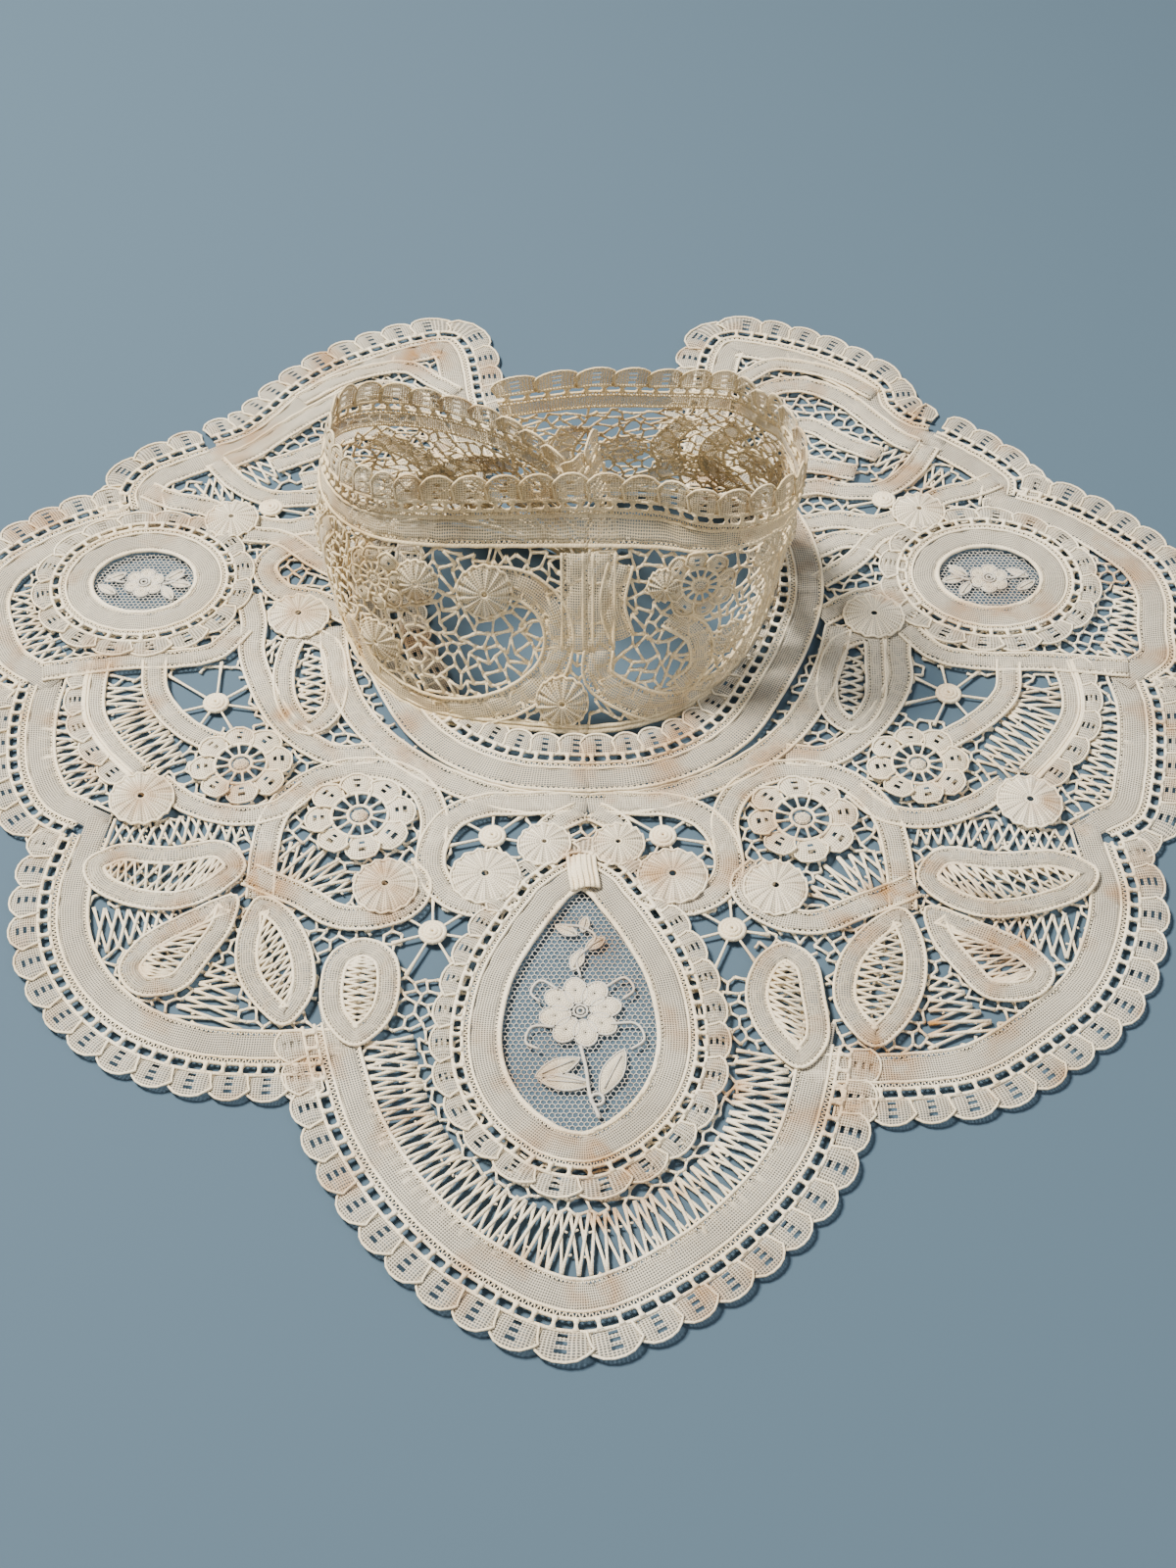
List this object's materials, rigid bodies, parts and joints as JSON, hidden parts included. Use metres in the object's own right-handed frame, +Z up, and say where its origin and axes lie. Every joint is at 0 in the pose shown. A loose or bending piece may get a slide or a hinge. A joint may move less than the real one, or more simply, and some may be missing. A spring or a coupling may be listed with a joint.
{
  "type": "high neck lace collar",
  "caption": "Historic tape-lace collar: a scalloped flat yoke with net inserts and flowers, and a standing openwork neck band open at the back.",
  "frame": {"origin": "middle of the collar's base, on the surface it lies on", "axes": "+Z up along the standing band, -Y towards the front lobe, +Y towards the back opening, +X the collar's right side as seen"},
  "size_m": [0.4034, 0.4022, 0.08],
  "materials": {
    "linen_tape": "woven cotton braid, matt ivory grey",
    "lace": "worked cotton lace, matt ivory",
    "net": "fine machine net, ivory",
    "cream_cord": "padded cotton cord, cream",
    "straw_tape": "woven cotton braid, aged straw beige"
  },
  "bodies": {
    "root": {"border_front": "linen_tape", "ground_front": "lace", "border_fan_left": "linen_tape", "ground_fan_left": "lace", "border_wing_left": "linen_tape", "ground_wing_left": "lace", "border_side_left": "linen_tape", "ground_side_left": "lace", "border_rear_left": "linen_tape", "ground_rear_left": "lace", "border_shoulder_left": "linen_tape", "ground_shoulder_left": "lace", "border_fan_right": "linen_tape", "ground_fan_right": "lace", "border_wing_right": "linen_tape", "ground_wing_right": "lace", "border_side_right": "linen_tape", "ground_side_right": "lace", "border_rear_right": "linen_tape", "ground_rear_right": "lace", "border_shoulder_right": "linen_tape", "ground_shoulder_right": "lace", "neck_ring_left": "linen_tape", "neck_ring_right": "linen_tape", "net_front": "net", "medallion_front": "linen_tape", "net_wing_left": "net", "medallion_wing_left": "linen_tape", "net_wing_right": "net", "medallion_wing_right": "linen_tape", "cap_front": "cream_cord", "daisy_front_left": "lace", "daisy_side_left": "lace", "rosette_scroll_left": "lace", "rosette_knot_left": "lace", "rosette_fan_left": "lace", "rosette_side_left": "lace", "rosette_neck_left": "lace", "rosette_shoulder_left": "lace", "leaf_upper_left": "lace", "leaf_middle_left": "lace", "leaf_lower_left": "lace", "oval_left": "lace", "daisy_front_right": "lace", "daisy_side_right": "lace", "rosette_scroll_right": "lace", "rosette_knot_right": "lace", "rosette_fan_right": "lace", "rosette_side_right": "lace", "rosette_neck_right": "lace", "rosette_shoulder_right": "lace", "leaf_upper_right": "lace", "leaf_middle_right": "lace", "leaf_lower_right": "lace", "oval_right": "lace", "band_left": "straw_tape", "band_braid_left": "straw_tape", "band_right": "straw_tape", "band_braid_right": "straw_tape"}
  },
  "joints": []
}
